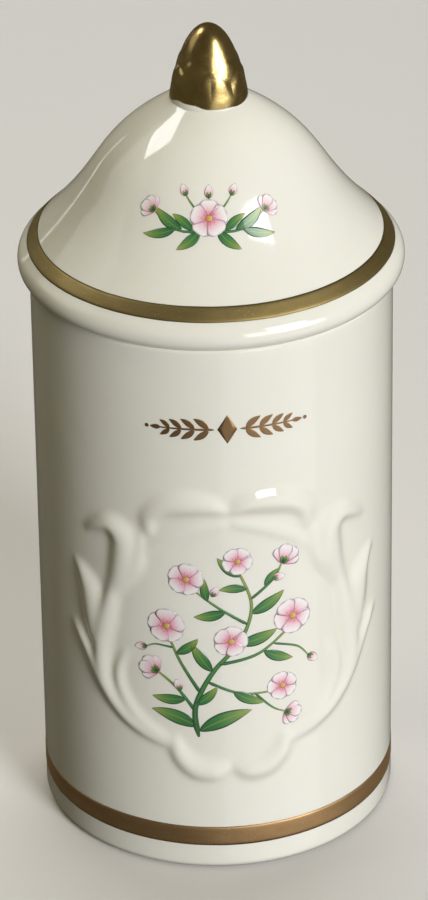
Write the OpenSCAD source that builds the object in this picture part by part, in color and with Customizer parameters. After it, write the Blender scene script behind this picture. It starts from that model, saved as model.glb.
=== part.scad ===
// Porcelain spice jar: a straight pot with a moulded scroll frame on its front, and an ogee lid
// with a gilded bud, whose plug carries a soft seal. The front looks along -Y.

/* [Jar] */
// Outside diameter of the straight wall
jar_d = 53; // [44:0.5:70]
// Height of the rim above the table
jar_h = 88.2; // [72:0.2:120]
// Thickness of the wall
jar_wall = 3.2; // [2.4:0.1:5]
// Thickness of the floor
floor_t = 4; // [3:0.1:8]
// Radius of the inside corner at the floor
floor_fillet = 5; // [2:0.5:9]
// Radius that rounds the outer edge of the foot
foot_round = 1.2; // [0.4:0.1:2.5]
// Width of the flat ring that the jar stands on
foot_ring_w = 3; // [2:0.1:6]
// Height of the recess inside the foot ring
foot_recess = 1.2; // [0.6:0.1:2.5]
// Radius that rounds both edges of the rim
rim_round = 0.7; // [0.3:0.1:1.1]

/* [Lid] */
// Diameter over the rolled rim
lid_d = 56.4; // [50:0.1:76]
// Height of the crown, where the bud stands, above the jar's rim
lid_h = 27.4; // [22:0.1:40]
// Thickness of the dome
lid_wall = 3; // [2.2:0.1:4]
// Radius of the rim's roll above its widest line
rim_roll = 2.5; // [1.5:0.1:4]
// Radius of the rim's roll below its widest line
lip_roll = 2.1; // [1.2:0.1:3]
// Width of the straight shoulder above the rim, along its slope
shoulder_w = 3.4; // [2.6:0.1:5]
// Slope of the shoulder, down from level, in degrees
shoulder_slope = 45.5; // [38:0.5:52]
// Slope of the dome where it leaves the crown, in degrees
crown_slope = 33.3; // [20:0.1:42]
// How long the dome holds its slope at the crown, as a share of its span
crown_hold = 0.49; // [0.3:0.01:0.6]
// How long the dome holds its slope at the shoulder, as a share of its span
shoulder_hold = 0.505; // [0.3:0.005:0.6]
// Width of the hollow collar round the bud's foot
collar_w = 1.2; // [0.5:0.1:2]
// Height of the collar, from the dome up to the bud's foot
collar_h = 1; // [0.9:0.1:2.5]

/* [Plug and seal] */
// How far the plug reaches down into the mouth
plug_depth = 8.6; // [7:0.1:14]
// Thickness of the plug's wall
plug_wall = 2.8; // [2.2:0.1:4]
// Space between the plug and the mouth, which the seal bridges
plug_gap = 1.5; // [1:0.1:2.5]
// Depth of the groove that holds the seal
groove_depth = 1; // [0.6:0.1:1.6]
// Width of the groove
groove_w = 4.4; // [3.6:0.1:6]
// Distance from the underside of the rim down to the groove
groove_drop = 2; // [1:0.1:4]
// Play between the seal and the groove
seal_play = 0.08; // [0.04:0.01:0.2]
// Clearance between the seal's lips and the mouth
lip_clear = 0.15; // [0.1:0.01:0.3]
// Thickness of the seal's lips at their edge
seal_lip_t = 0.5; // [0.3:0.1:0.8]

/* [Bud] */
// Diameter over the petals at the bud's foot
bud_d = 11.2; // [8:0.1:16]
// Height of the bud
bud_h = 11.1; // [8:0.1:18]
// How far up the bud's side stays upright, as a share of its height
bud_upright = 0.45; // [0.2:0.01:0.6]
// How full the bud's tip is, as a share of its foot
bud_fullness = 0.53; // [0.25:0.01:0.6]
// Number of petals round the bud
petal_count = 5; // [4:1:7]
// Height of a petal's tip above the bud's foot
petal_h = 5.5; // [4:0.1:8]
// How far the petals stand out from the bud
petal_t = 0.5; // [0.3:0.05:0.9]
// How far up a petal keeps its width, as a share of its height
petal_hold = 0.6; // [0.3:0.05:0.8]
// Width of a petal's shoulder, as a share of its foot
petal_shoulder = 0.4; // [0.2:0.05:0.6]

/* [Gilding] */
// Thickness of the fired gold, drawn thick enough to hold its shape
gilding_t = 0.1; // [0.05:0.01:0.2]
// Height of the foot's gold line above the table
foot_line_z = 4.2; // [2.6:0.1:12]
// Width of the foot's gold line
foot_line_w = 3.3; // [1:0.1:6]
// Width of the lid's gold line, from the top of the shoulder
lid_line_w = 2.4; // [1:0.1:2.6]

/* [Scroll frame] */
// Height of the frame's middle above the table
frame_z = 40; // [36:0.5:60]
// How far the boldest scroll stands out from the wall
relief = 1.4; // [0.8:0.1:1.5]
// How much wider a scroll's inner slope is than its outer one
inner_spread = 1.6; // [1:0.1:1.8]

/* [Hidden] */
$fn = 128;
// Steps in a quarter turn of a small round, and in the dome
round_steps = 8;
dome_steps = 36;
bud_steps = 24;

jar_r = jar_d / 2;
mouth_r = jar_r - jar_wall;
lid_r = lid_d / 2;
bud_r = bud_d / 2;
crown_z = jar_h + lid_h;
plug_r = mouth_r - plug_gap;
plug_bore_r = plug_r - plug_wall;
plug_z = jar_h - plug_depth;
groove_r = plug_r - groove_depth;
groove_z = jar_h - groove_drop - groove_w;

porcelain = "ivory";
gold = "goldenrod";
silicone = "whitesmoke";

// Points of an arc; angles turn clockwise from +Z, as seen with the axis on the left
function arc(centre, r, from, to) =
    [for (i = [0:round_steps]) let(a = from + (to - from) * i / round_steps) centre + r * [sin(a), cos(a)]];

function bezier(p0, p1, p2, p3, t) =
    pow(1 - t, 3) * p0 + 3 * pow(1 - t, 2) * t * p1 + 3 * (1 - t) * t * t * p2 + t * t * t * p3;

function bezier_slope(p0, p1, p2, p3, t) =
    (1 - t) * (1 - t) * (p1 - p0) + 2 * (1 - t) * t * (p2 - p1) + t * t * (p3 - p2);

// The rim's rolls meet at the widest line, and the shoulder leaves the upper one along its slope
rim_z = jar_h + lip_roll;
roll_centre = [lid_r - rim_roll, rim_z];
down_shoulder = [cos(shoulder_slope), -sin(shoulder_slope)];
shoulder_foot = roll_centre + rim_roll * [sin(shoulder_slope), cos(shoulder_slope)];
shoulder_top = shoulder_foot - shoulder_w * down_shoulder;

// The dome is one curve from the collar to the top of the shoulder
dome_0 = [bud_r + collar_w, crown_z - collar_h];
dome_span = norm(shoulder_top - dome_0);
dome_1 = dome_0 + crown_hold * dome_span * [cos(crown_slope), -sin(crown_slope)];
dome_2 = shoulder_top - shoulder_hold * dome_span * down_shoulder;
dome = [for (i = [0:dome_steps]) bezier(dome_0, dome_1, dome_2, shoulder_top, i / dome_steps)];

// The collar falls straight from the bud's foot and runs out into the dome
collar_corner = [bud_r, dome_0[1] + collar_w * tan(crown_slope)];
collar = [
    for (i = [0:round_steps - 1])
        bezier([bud_r, crown_z], collar_corner, collar_corner, dome_0, i / round_steps)
];

// The dome's inside, one wall in along the normal, as far out as the plug's bore
dome_inside = [
    for (i = [0:dome_steps])
        let(along = bezier_slope(dome_0, dome_1, dome_2, shoulder_top, i / dome_steps))
        let(p = dome[i] + lid_wall * [along[1], -along[0]] / norm(along))
        if (p[0] < plug_bore_r) p
];

module pot() {
    floor_z = foot_recess + floor_t;
    recess_r = jar_r - foot_round - foot_ring_w;
    rotate_extrude()
    polygon(concat(
        [[0, foot_recess], [recess_r - foot_recess, foot_recess], [recess_r, 0]],
        arc([jar_r - foot_round, foot_round], foot_round, 180, 90),
        arc([jar_r - rim_round, jar_h - rim_round], rim_round, 90, 0),
        arc([mouth_r + rim_round, jar_h - rim_round], rim_round, 0, -90),
        arc([mouth_r - floor_fillet, floor_z + floor_fillet], floor_fillet, 90, 180),
        [[0, floor_z]]
    ));
}

module lid() {
    color(porcelain)
    rotate_extrude()
    polygon(concat(
        [[0, crown_z]],
        collar,
        dome,
        arc(roll_centre, rim_roll, shoulder_slope, 90),
        arc([lid_r - lip_roll, rim_z], lip_roll, 90, 180),
        [
            [plug_r, jar_h],
            [plug_r, groove_z + groove_w],
            [groove_r, groove_z + groove_w],
            [groove_r, groove_z],
            [plug_r, groove_z]
        ],
        arc([plug_r - rim_round, plug_z + rim_round], rim_round, 90, 180),
        [[plug_bore_r, plug_z]],
        [for (i = [len(dome_inside) - 1:-1:0]) dome_inside[i]],
        [[0, dome_inside[0][1]]]
    ));
}

module seal_ring() {
    inner_r = groove_r + seal_play;
    outer_r = mouth_r - lip_clear;
    bottom = groove_z + seal_play;
    top = groove_z + groove_w - seal_play;
    middle = (bottom + top) / 2;
    color(silicone)
    rotate_extrude()
    polygon([
        [inner_r, bottom],
        [plug_r, bottom],
        [outer_r, middle - seal_lip_t],
        [outer_r, middle],
        [plug_r, middle],
        [outer_r, top - seal_lip_t],
        [outer_r, top],
        [inner_r, top]
    ]);
}

module base_gilding() {
    outer_r = jar_r + gilding_t;
    line_top = foot_line_z + foot_line_w;
    color(gold)
    rotate_extrude()
    polygon([[jar_r, foot_line_z], [outer_r, foot_line_z], [outer_r, line_top], [jar_r, line_top]]);
}

module lid_gilding() {
    line_foot = shoulder_top + lid_line_w * down_shoulder;
    out = gilding_t * [sin(shoulder_slope), cos(shoulder_slope)];
    color(gold)
    rotate_extrude()
    polygon([shoulder_top, shoulder_top + out, line_foot + out, line_foot]);
}

// Half outline of the bud, grown outwards by a petal's thickness where that is asked for
function bud_side(grow) =
    let(foot_r = bud_r - petal_t + grow)
    let(tip_z = bud_h + grow)
    [
        for (i = [0:bud_steps])
            bezier([foot_r, 0], [foot_r, bud_h * bud_upright], [bud_r * bud_fullness + grow, tip_z],
                   [0, tip_z], i / bud_steps)
    ];

// A pointed petal, seen from the front, as wide as its share of the bud's foot
module petal_outline() {
    half_w = bud_r * tan(180 / petal_count);
    shoulder_z = petal_h * (1 + petal_hold) / 2;
    side = [
        for (i = [0:bud_steps])
            bezier([half_w, 0], [half_w, petal_h * petal_hold], [half_w * petal_shoulder, shoulder_z],
                   [0, petal_h], i / bud_steps)
    ];
    polygon(concat(side, [for (i = [bud_steps - 1:-1:0]) [-side[i][0], side[i][1]]]));
}

module finial() {
    color(gold)
    translate([0, 0, crown_z]) {
        rotate_extrude() polygon(concat([[0, 0]], bud_side(0)));
        for (i = [0:petal_count - 1])
            rotate(i * 360 / petal_count)
            intersection() {
                rotate_extrude() polygon(concat([[0, 0]], bud_side(petal_t)));
                rotate([90, 0, 0]) linear_extrude(bud_d) petal_outline();
            }
    }
}

// The frame's scrolls and leaves on the right of its middle line. Each is a row of points:
// [along the wall from the middle line, up from the frame's middle, half width of the outer slope,
// share of the relief]. The crest runs anticlockwise round the frame, so it is steep below,
// and the others run clockwise.
crest = [[11.7, 17.8, 0.7, 0.4], [11.5, 20.1, 1.1, 0.65], [9.4, 21.9, 1.4, 0.75], [6.2, 22.7, 1.6, 0.8],
         [2.8, 22.6, 1.2, 0.65], [0.7, 21.8, 0.5, 0.35]];
under_crest = [[1, 19.8, 0.6, 0.2], [5, 18.8, 0.9, 0.26], [9.6, 16.6, 0.9, 0.26], [13, 13.8, 0.7, 0.2]];
upper_leaf = [[22.6, 15.2, 0.4, 0.35], [20.6, 16.4, 0.9, 0.7], [18, 17.2, 1.3, 0.95], [16.2, 15.4, 1.8, 1],
              [16.3, 12, 1.9, 0.95], [17.2, 8.6, 1.5, 0.75], [18.8, 5.2, 0.9, 0.4]];
leaf_fold = [[13.2, 17, 0.5, 0.3], [13.4, 13.8, 0.8, 0.55], [14.2, 10.8, 0.8, 0.5], [16, 7.8, 0.6, 0.3]];
main_scroll = [[17.4, 7.8, 0.6, 0.4], [18.5, 5, 1.1, 0.75], [19.6, 1, 1.4, 0.9], [20.5, -3.6, 1.4, 1],
               [20.4, -7.5, 1.2, 1], [19.4, -10.8, 1.1, 0.95], [16.8, -14.3, 1.1, 0.85],
               [13.2, -16.8, 0.9, 0.65], [9.4, -18.4, 0.6, 0.4]];
middle_leaf = [[25.4, 8.6, 0.4, 0.35], [23.9, 7.4, 0.9, 0.75], [22.6, 5, 1.6, 0.95], [22, 1.6, 1.9, 0.95],
               [21.6, -2.6, 1.3, 0.8]];
lower_leaf = [[26.2, -2.2, 0.4, 0.35], [24.6, -3.6, 0.8, 0.75], [22.6, -6.2, 1, 0.9], [20.6, -9.8, 1, 0.9],
              [18.4, -13, 0.9, 0.75]];
inner_scroll = [[15.9, -3.4, 0.3, 0.2], [17.3, -7, 0.7, 0.55], [16.9, -10.4, 0.8, 0.6],
                [14.8, -13.8, 0.8, 0.56], [12, -16.2, 0.8, 0.5], [8.9, -17.8, 0.6, 0.4]];
bottom_scroll = [[8.4, -17.4, 0.7, 0.5], [7.8, -20, 1.2, 0.75], [5.5, -22.3, 1.5, 0.8],
                 [2.7, -22.8, 1.4, 0.7], [0.9, -22, 0.6, 0.4]];
scrolls = [crest, under_crest, upper_leaf, leaf_fold, main_scroll, middle_leaf, lower_leaf, inner_scroll,
           bottom_scroll];
// Steps between two points of a scroll, and steps across its rounded back
scroll_steps = 3;
back_steps = 6;
// How far a scroll's sides and its root start inside the wall, each root a step deeper than the last
scroll_skirt = 0.25;
scroll_root = 0.6;
root_step = 0.12;

// A smooth curve through the points of a scroll
function through(p, i, t) =
    let(a = p[max(i - 1, 0)])
    let(b = p[i])
    let(c = p[i + 1])
    let(d = p[min(i + 2, len(p) - 1)])
    b + (c - a) * t / 2 + (2 * a - 5 * b + 4 * c - d) * t * t / 2 + (3 * b - a - 3 * c + d) * t * t * t / 2;

function scroll_line(p) = concat(
    [for (i = [0:len(p) - 2]) for (k = [0:scroll_steps - 1]) through(p, i, k / scroll_steps)],
    [p[len(p) - 1]]
);

// A point on the wall: along it from the middle line, up from the frame's middle, out from the wall
function on_wall(along, up, out) =
    let(a = along / jar_r * 180 / PI)
    [(jar_r + out) * sin(a), -(jar_r + out) * cos(a), up];

// One scroll: a bead, steep outside and sloping inside, that follows its line and tapers to its ends
module scroll(points, root) {
    line = scroll_line(points);
    last = len(line) - 1;
    ring = back_steps + 3;
    vertices = [
        for (i = [0:last])
            let(here = [line[i][0], line[i][1]])
            let(half_w = line[i][2])
            let(height = relief * line[i][3])
            let(ahead = line[min(i + 1, last)] - line[max(i - 1, 0)])
            let(outward = [-ahead[1], ahead[0]] / norm([ahead[0], ahead[1]]))
            for (k = [0:ring - 1])
                let(under = k > back_steps)
                let(a = under ? (k == ring - 1 ? 0 : 180) : 180 * k / back_steps)
                let(reach = half_w * cos(a) * (a > 90 ? inner_spread : 1))
                let(place = here + outward * reach)
                let(out = under ? -root : (height + scroll_skirt) * sin(a) - scroll_skirt)
                on_wall(place[0], place[1], out)
    ];
    sides = [
        for (i = [0:last - 1])
            for (k = [0:ring - 1])
                let(n = (k + 1) % ring)
                [i * ring + k, (i + 1) * ring + k, (i + 1) * ring + n, i * ring + n]
    ];
    start = [for (k = [0:ring - 1]) k];
    end = [for (k = [ring - 1:-1:0]) last * ring + k];
    polyhedron(vertices, concat(sides, [start, end]));
}

module half_frame() {
    for (i = [0:len(scrolls) - 1]) scroll(scrolls[i], scroll_root + i * root_step);
}

// The pot and its frame are cast in one
module jar_body() {
    color(porcelain)
    union() {
        pot();
        translate([0, 0, frame_z]) {
            half_frame();
            mirror([1, 0, 0]) half_frame();
        }
    }
}

jar_body();
base_gilding();
lid();
lid_gilding();
finial();
seal_ring();
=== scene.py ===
"""Looks of a porcelain spice jar: ivory glaze, a moulded scroll frame, gilding and a painted spray."""
import math
import bmesh
import bpy
import numpy as np
from mathutils import Matrix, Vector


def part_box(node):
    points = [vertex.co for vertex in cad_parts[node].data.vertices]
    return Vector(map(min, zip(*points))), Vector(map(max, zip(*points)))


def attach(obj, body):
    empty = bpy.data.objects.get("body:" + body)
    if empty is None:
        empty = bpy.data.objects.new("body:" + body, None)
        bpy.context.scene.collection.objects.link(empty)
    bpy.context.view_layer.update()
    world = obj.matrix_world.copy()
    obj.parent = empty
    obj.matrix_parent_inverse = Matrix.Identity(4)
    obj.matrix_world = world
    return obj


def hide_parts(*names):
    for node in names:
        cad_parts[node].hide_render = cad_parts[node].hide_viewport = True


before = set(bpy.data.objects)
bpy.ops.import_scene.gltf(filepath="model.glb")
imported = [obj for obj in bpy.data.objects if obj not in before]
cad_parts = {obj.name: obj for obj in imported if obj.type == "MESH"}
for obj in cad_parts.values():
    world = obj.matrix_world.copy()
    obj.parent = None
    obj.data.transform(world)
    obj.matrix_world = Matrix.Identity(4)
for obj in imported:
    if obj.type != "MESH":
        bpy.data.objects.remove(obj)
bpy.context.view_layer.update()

# Sizes are in millimetres where nothing else is said; MM takes them to metres
MM = 0.001


def node_box(node):
    """Lowest and highest corner of a CAD node."""
    low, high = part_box(node)
    return np.array([low, high]) / MM


# Driving sizes, read from the frame
_, (JAR_R, _, JAR_H) = node_box("jar_body")
(_, _, PLUG_Z), (LID_R, _, CROWN_Z) = node_box("lid")
(_, _, bud_low), (BUD_R, _, bud_top) = node_box("finial")
(_, _, SEAL_LOW), (SEAL_R, _, SEAL_TOP) = node_box("seal_ring")
(_, _, FOOT_LINE_LOW), (_, _, FOOT_LINE_TOP) = node_box("base_gilding")
BUD_H = bud_top - bud_low

# Sizes that the boxes don't give, as in the part's source
WALL = 3.2
FLOOR_T = 4
FLOOR_FILLET = 5
FOOT_ROUND = 1.2
FOOT_RING_W = 3
FOOT_RECESS = 1.2
RIM_ROUND = 0.7
LID_WALL = 3
RIM_ROLL = 2.5
LIP_ROLL = 2.1
SHOULDER_W = 3.4
SHOULDER_SLOPE = math.radians(45.5)
CROWN_SLOPE = math.radians(33.3)
CROWN_HOLD = 0.49
SHOULDER_HOLD = 0.505
COLLAR_W = 1.2
COLLAR_H = 1
PLUG_GAP = 1.5
PLUG_WALL = 2.8
GROOVE_DEPTH = 1
GROOVE_W = 4.4
GROOVE_DROP = 2
SEAL_PLAY = 0.08
SEAL_LIP_T = 0.5
LID_LINE_W = 2.4
FRAME_Z = 40
RELIEF = 1.4
INNER_SPREAD = 1.6
PETALS = 5
PETAL_H = 5.5
PETAL_T = 0.5
BUD_UPRIGHT = 0.45
BUD_FULLNESS = 0.53

MOUTH_R = JAR_R - WALL
PLUG_R = MOUTH_R - PLUG_GAP
PLUG_BORE_R = PLUG_R - PLUG_WALL
FOOT_LINE_W = FOOT_LINE_TOP - FOOT_LINE_LOW

# Rounding of edges that the source leaves sharp: the plug's and the seal's
EDGE_ROUND = 0.25
SEAL_ROUND = 0.18


# Curves

def bezier(p0, p1, p2, p3, count):
    t = np.linspace(0, 1, count)[:, None]
    return (1 - t) ** 3 * p0 + 3 * (1 - t) ** 2 * t * p1 + 3 * (1 - t) * t * t * p2 + t ** 3 * p3


def arc(centre, r, start, end, count):
    """Points of an arc; angles in degrees turn clockwise from +Z, with the axis on the left."""
    a = np.radians(np.linspace(start, end, count))
    return np.array(centre) + r * np.stack([np.sin(a), np.cos(a)], 1)


def straight(start, end, count):
    t = np.linspace(0, 1, count)[:, None]
    return (1 - t) * start + t * end


def through(points, per_span):
    """A smooth curve through points of any dimension."""
    p = np.array(points, float)
    p = np.vstack([p[:1], p, p[-1:]])
    t = np.linspace(0, 1, per_span, endpoint=False)[:, None]
    spans = []
    for a, b, c, d in zip(p, p[1:], p[2:], p[3:]):
        spans.append(b + (c - a) * t / 2 + (2 * a - 5 * b + 4 * c - d) * t ** 2 / 2
                     + (3 * b - a - 3 * c + d) * t ** 3 / 2)
    return np.vstack(spans + [p[-1:]])


def path_length(points):
    return np.concatenate([[0], np.cumsum(np.linalg.norm(np.diff(points, axis=0), axis=1))])


def normals(line):
    """Unit vectors square to a line of points, on the left of its way."""
    along = np.gradient(line, axis=0)
    return np.stack([-along[:, 1], along[:, 0]], 1) / np.linalg.norm(along, axis=1)[:, None]


def smoothstep(low, high, x):
    t = np.clip((x - low) / (high - low), 0, 1)
    return t * t * (3 - 2 * t)


def smoothed(grid, own, passes):
    """A grid after some passes that mix each value, own times, with its four neighbours."""
    for _ in range(passes):
        around = sum(np.roll(grid, step, axis) for axis in (0, 1) for step in (1, -1))
        grid = (own * grid + around) / (own + 4)
    return grid


# Meshes

# Millimetres of a profile that one unit of V spans
UV_SPAN = 100
# Radius of the ring round a closed shape's pole
POLE_R = 1


def quads(index):
    """Faces between the neighbours in a grid of vertex numbers."""
    corners = [index[:-1, :-1], index[:-1, 1:], index[1:, 1:], index[1:, :-1]]
    return np.stack(corners, -1).reshape(-1, 4)


def mesh_object(name, vertices, uvs, faces, material):
    """A smooth mesh with one UV for each vertex."""
    mesh = bpy.data.meshes.new(name)
    mesh.from_pydata((vertices * MM).tolist(), [], faces)
    corners = np.empty(len(mesh.loops), int)
    mesh.loops.foreach_get("vertex_index", corners)
    mesh.uv_layers.new(name="UVMap").data.foreach_set("uv", uvs[corners].ravel())
    shape = bmesh.new()
    shape.from_mesh(mesh)
    bmesh.ops.recalc_face_normals(shape, faces=shape.faces)
    shape.to_mesh(mesh)
    shape.free()
    mesh.polygons.foreach_set("use_smooth", np.ones(len(mesh.polygons), bool))
    mesh.materials.append(material)
    obj = bpy.data.objects.new(name, mesh)
    bpy.context.collection.objects.link(obj)
    return obj


def ring_object(name, points, uv, material, wrap_rows=False, poles=False):
    """A mesh over rings of points; poles closes the first and the last ring with one vertex each."""
    rows, columns = points.shape[:2]
    size = rows * columns
    index = np.arange(size).reshape(rows, columns)
    index = np.hstack([index, index[:, :1]])
    if wrap_rows:
        index = np.vstack([index, index[:1]])
    faces = quads(index).tolist()
    vertices = points.reshape(-1, 3)
    uvs = uv.reshape(-1, 2)
    if poles:
        vertices = np.vstack([vertices, points[0].mean(0), points[-1].mean(0)])
        uvs = np.vstack([uvs, uv[0].mean(0), uv[-1].mean(0)])
        first, last = index[0].tolist(), index[-1].tolist()
        faces += [[size, b, a] for a, b in zip(first, first[1:])]
        faces += [[size + 1, a, b] for a, b in zip(last, last[1:])]
    return mesh_object(name, vertices, uvs, faces, material)


def mark(piece, name, grid, poles):
    """Stores a value for each vertex of a grid and for its two poles, for a material to read."""
    values = np.append(grid.ravel(), poles)
    piece.data.attributes.new(name, "FLOAT", "POINT").data.foreach_set("value", values)


def round_axis(r, turn, z):
    """Points at a radius, a turn from the front and a height."""
    return np.stack(np.broadcast_arrays(r * np.sin(turn), -r * np.cos(turn), z), -1)


def turned(profile, angles, push=0):
    """Points of a profile [radius, height] turned round the axis; push adds to the radius."""
    return round_axis(profile[:, :1] + push, angles, profile[:, 1:])


def turned_uv(profile, angles):
    u = (angles - angles[0]) / (2 * math.pi)
    v = path_length(profile) / UV_SPAN
    return np.stack(np.broadcast_arrays(u[None, :], v[:, None]), -1)


def turned_object(name, profile, angles, material, push=0, **ends):
    return ring_object(name, turned(profile, angles, push), turned_uv(profile, angles), material, **ends)


def even_angles(count):
    return np.linspace(0, 2 * math.pi, count, endpoint=False)


# Nodes of a material

def new_material(name):
    material = bpy.data.materials.new(name)
    material.use_nodes = True
    tree = material.node_tree
    return material, tree, tree.nodes["Principled BSDF"]


def fill(tree, node, inputs):
    """Links sockets to a node's inputs, and sets those that are the same all over the surface."""
    for key, value in inputs.items():
        if isinstance(value, bpy.types.NodeSocket):
            tree.links.new(value, node.inputs[key])
        else:
            node.inputs[key].default_value = value


def add_node(tree, kind, inputs, **settings):
    node = tree.nodes.new(kind)
    for key, value in settings.items():
        setattr(node, key, value)
    fill(tree, node, inputs)
    return node


def coords(tree, kind):
    return tree.nodes.new("ShaderNodeTexCoord").outputs[kind]


def attribute(tree, name):
    return add_node(tree, "ShaderNodeAttribute", {}, attribute_name=name).outputs["Fac"]


def stretched(tree, vector, scale):
    return add_node(tree, "ShaderNodeMapping", {"Vector": vector, "Scale": scale}).outputs["Vector"]


def noise(tree, vector, scale=1, detail=3, roughness=0.5):
    inputs = {"Vector": vector, "Scale": scale, "Detail": detail, "Roughness": roughness}
    return add_node(tree, "ShaderNodeTexNoise", inputs).outputs["Fac"]


def ramp(tree, value, *stops):
    node = add_node(tree, "ShaderNodeValToRGB", {"Fac": value})
    elements = node.color_ramp.elements
    while len(elements) < len(stops):
        elements.new(0.5)
    for element, (position, colour) in zip(elements, stops):
        element.position = position
        element.color = (*colour, 1)
    return node.outputs["Color"]


def grey(value):
    return (value, value, value)


def mixed(tree, factor, a, b):
    """Goes from a to b, each a socket or a colour, as the factor goes from 0 to 1."""
    node = tree.nodes.new("ShaderNodeMix")
    node.data_type = "RGBA"
    for key, value in (("Factor", factor), ("A", a), ("B", b)):
        socket = next(s for s in node.inputs if s.name == key and s.enabled)
        if isinstance(value, bpy.types.NodeSocket):
            tree.links.new(value, socket)
        else:
            socket.default_value = (*value, 1)
    return next(s for s in node.outputs if s.enabled)


def maths(tree, operation, a, b=0.0):
    return add_node(tree, "ShaderNodeMath", {0: a, 1: b}, operation=operation).outputs["Value"]


def off_middle(tree, share):
    """How far a share from 0 to 1 is off its middle: 0 there and 1 at both ends."""
    return maths(tree, "MULTIPLY", maths(tree, "ABSOLUTE", maths(tree, "SUBTRACT", share, 0.5)), 2.0)


def bump(tree, shader, height, strength, distance):
    """Fine relief from a height; distance in metres."""
    inputs = {"Height": height, "Strength": strength, "Distance": distance}
    fill(tree, shader, {"Normal": add_node(tree, "ShaderNodeBump", inputs).outputs["Normal"]})


# Materials

IVORY = (0.80, 0.786, 0.68)
# Warmer, darker ivory: painted shade in the hollows beside the scrolls, and the china seen through worn
# gold
IVORY_WARM = (0.76, 0.70, 0.53)
IVORY_PALE = (0.82, 0.807, 0.705)
# Gold from its darkest to its lightest tone
LID_GOLD = ((0.21, 0.155, 0.062), (0.34, 0.26, 0.105), (0.47, 0.37, 0.17))
FOOT_GOLD = ((0.31, 0.19, 0.095), (0.50, 0.325, 0.16), (0.66, 0.46, 0.235))
COAT_ROUGHNESS = 0.04


def porcelain_material():
    """Ivory glaze: a little light under the surface, a faint ripple, and painted shade that gives the
    hollows beside the scrolls a warmer, darker tone.
    """
    material, tree, shader = new_material("ivory_glaze")
    place = coords(tree, "Object")
    cloud = noise(tree, place, scale=45, detail=4, roughness=0.55)
    body = ramp(tree, cloud, (0.3, IVORY), (0.7, IVORY_PALE))
    gloss = ramp(tree, noise(tree, place, scale=160, detail=2), (0.3, grey(0.06)), (0.75, grey(0.11)))
    fill(tree, shader, {
        # Painted shade: a warmer, darker tone in the hollows beside the scrolls
        "Base Color": mixed(tree, attribute(tree, "hollow_shade"), body, IVORY_WARM),
        "Roughness": gloss,
        "IOR": 1.5,
        "Subsurface Weight": 0.18,
        "Subsurface Radius": (1.0, 0.8, 0.5),
        "Subsurface Scale": 0.0015,
        "Coat Weight": 0.35,
        "Coat Roughness": COAT_ROUGHNESS,
    })
    fine = maths(tree, "MULTIPLY", noise(tree, place, scale=420, detail=2), 0.12)
    ripple = maths(tree, "ADD", noise(tree, place, scale=60, detail=2), fine)
    bump(tree, shader, ripple, strength=0.25, distance=0.0006)
    return material


def gilding_material(name, width, tones):
    """Fired gold line: a fine grain, faint brush streaks, uneven burnish and small worn specks."""
    material, tree, shader = new_material(name)
    dark, middle, light = tones
    place = coords(tree, "UV")
    streak = noise(tree, stretched(tree, place, (60, 1600, 1)), detail=5, roughness=0.65)
    grain = noise(tree, stretched(tree, place, (1100, 660, 1)), roughness=0.7)
    patch = noise(tree, stretched(tree, place, (16, 22, 1)))
    speck = noise(tree, stretched(tree, place, (700, 420, 1)), detail=2)
    fine = maths(tree, "ADD", maths(tree, "MULTIPLY", streak, 0.18), maths(tree, "MULTIPLY", grain, 0.32))
    tone = maths(tree, "ADD", fine, maths(tree, "MULTIPLY", patch, 0.5))
    gold = ramp(tree, tone, (0.3, dark), (0.52, middle), (0.72, light))
    split = add_node(tree, "ShaderNodeSeparateXYZ", {"Vector": place})
    rim = off_middle(tree, maths(tree, "DIVIDE", split.outputs["Y"], width / UV_SPAN))
    gold = mixed(tree, ramp(tree, rim, (0.80, grey(0)), (0.97, grey(0.75))), gold, dark)
    worn = ramp(tree, speck, (0.70, grey(0)), (0.74, grey(1)))
    fill(tree, shader, {
        "Base Color": mixed(tree, worn, gold, IVORY_WARM),
        "Metallic": maths(tree, "SUBTRACT", 1.0, worn),
        "Roughness": ramp(tree, tone, (0.3, grey(0.62)), (0.7, grey(0.48))),
    })
    bump(tree, shader, grain, strength=0.3, distance=0.00005)
    return material


def bud_material():
    """Polished gold over china, with the soft unevenness of a burnished surface."""
    material, tree, shader = new_material("bud_gold")
    place = coords(tree, "Object")
    cloud = noise(tree, place, scale=260, detail=4, roughness=0.6)
    gold = ramp(tree, cloud, (0.3, (0.48, 0.335, 0.13)), (0.7, (0.69, 0.535, 0.22)))
    gloss = ramp(tree, noise(tree, place, scale=700), (0.3, grey(0.2)), (0.75, grey(0.3)))
    bare = attribute(tree, "bare")
    fill(tree, shader, {
        "Base Color": mixed(tree, bare, gold, IVORY),
        "Roughness": mixed(tree, bare, gloss, grey(0.08)),
        "Metallic": maths(tree, "SUBTRACT", 1.0, bare),
    })
    bump(tree, shader, noise(tree, place, scale=320), strength=0.2, distance=0.0003)
    return material


def silicone_material():
    """Milky soft seal with a faint moulded grain."""
    material, tree, shader = new_material("silicone")
    place = coords(tree, "Object")
    cloud = noise(tree, place, scale=120)
    haze = noise(tree, place, scale=900, detail=2)
    fill(tree, shader, {
        "Base Color": ramp(tree, cloud, (0.3, (0.70, 0.71, 0.69)), (0.7, (0.80, 0.81, 0.79))),
        "Roughness": ramp(tree, haze, (0.3, grey(0.38)), (0.7, grey(0.52))),
        "Subsurface Weight": 0.4,
        "Subsurface Radius": (1.0, 1.0, 0.9),
        "Subsurface Scale": 0.002,
    })
    bump(tree, shader, noise(tree, place, scale=1500, detail=2), strength=0.15, distance=0.0002)
    return material


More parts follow.
